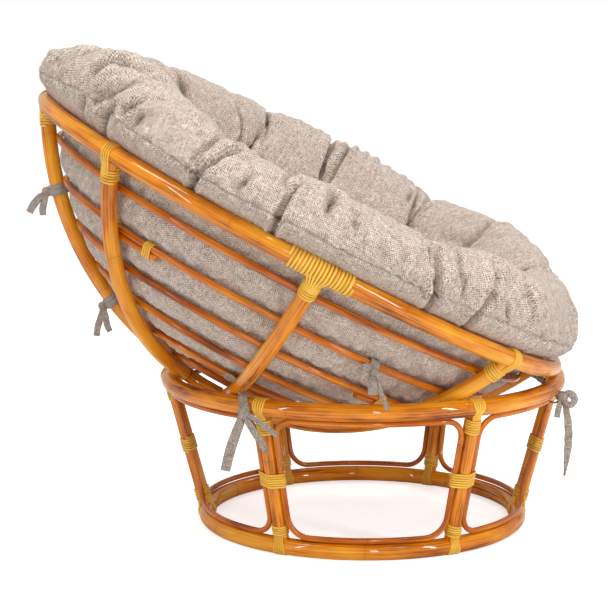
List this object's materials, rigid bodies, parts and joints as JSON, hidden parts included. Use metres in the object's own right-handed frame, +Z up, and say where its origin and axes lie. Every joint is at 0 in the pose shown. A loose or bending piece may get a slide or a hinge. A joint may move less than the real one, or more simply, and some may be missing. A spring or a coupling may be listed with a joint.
{
  "type": "papasan chair",
  "caption": "Round papasan chair: a bowl of bent rattan poles tilted forward in a six-post rattan ring stand, with a thick tufted taupe cushion tied into it.",
  "frame": {"origin": "on the floor, under the middle of the chair's overall box", "axes": "+Z up, +X to the front where the bowl dips, +Y to the sitter's left, across the chair"},
  "size_m": [1.0206, 1.1028, 0.9005],
  "materials": {
    "rattan_pole": "varnished honey-brown rattan, glossy",
    "rattan_rod": "varnished thin rattan rod, darker brown",
    "cane_strand": "split cane strand, yellow-gold, satin",
    "cushion_cloth": "coarse woven taupe melange",
    "tie_cloth": "flat sewn ties in the cushion's cloth"
  },
  "bodies": {
    "stand": {"top_ring": "rattan_pole", "bottom_ring": "rattan_pole", "post_1": "rattan_pole", "post_2": "rattan_pole", "post_3": "rattan_pole", "post_4": "rattan_pole", "post_5": "rattan_pole", "post_6": "rattan_pole", "panel_rod_1": "rattan_rod", "panel_rod_2": "rattan_rod", "panel_rod_3": "rattan_rod", "panel_rod_4": "rattan_rod", "panel_rod_5": "rattan_rod", "panel_rod_6": "rattan_rod", "post_lashing_1": "cane_strand", "post_lashing_2": "cane_strand", "post_lashing_3": "cane_strand", "post_lashing_4": "cane_strand", "post_lashing_5": "cane_strand", "post_lashing_6": "cane_strand"},
    "ring_ties": {"rear_ring_tie": "tie_cloth", "front_ring_tie": "tie_cloth", "rear_ring_tie_strap": "tie_cloth", "front_ring_tie_strap": "tie_cloth"},
    "bowl": {"rim": "rattan_pole", "hub_ring": "rattan_pole", "hoop_1": "rattan_rod", "hoop_2": "rattan_rod", "hoop_3": "rattan_rod", "hoop_4": "rattan_rod", "hoop_5": "rattan_rod", "hoop_6": "rattan_rod", "rib_1": "rattan_pole", "rib_2": "rattan_pole", "rib_3": "rattan_pole", "rib_4": "rattan_pole", "rib_5": "rattan_pole", "rib_6": "rattan_pole", "rib_7": "rattan_pole", "rib_8": "rattan_pole", "rib_lashing_2": "cane_strand", "rib_lashing_3": "cane_strand", "rib_lashing_4": "cane_strand", "rib_lashing_5": "cane_strand", "rib_lashing_6": "cane_strand", "rib_lashing_7": "cane_strand", "rib_lashing_8": "cane_strand", "rim_splice_winding": "cane_strand", "cushion": "cushion_cloth", "rib_tie_1": "tie_cloth", "rib_tie_2": "tie_cloth", "hoop_tie": "tie_cloth"}
  },
  "joints": [
    {"name": "swivel", "type": "hinge", "parent": "stand", "child": "ring_ties", "pos_m": [0.09303, 0, 0.275], "axis": [0, 0, 1], "range_deg": [-18, 0], "deforming": ["rear_ring_tie"]},
    {"name": "bowl_tilt", "type": "hinge", "parent": "ring_ties", "child": "bowl", "pos_m": [0.09303, 0, 0.76687], "axis": [0, 1, 0], "range_deg": [-14, 0], "deforming": ["rear_ring_tie_strap", "front_ring_tie_strap", "rib_tie_2"]}
  ]
}
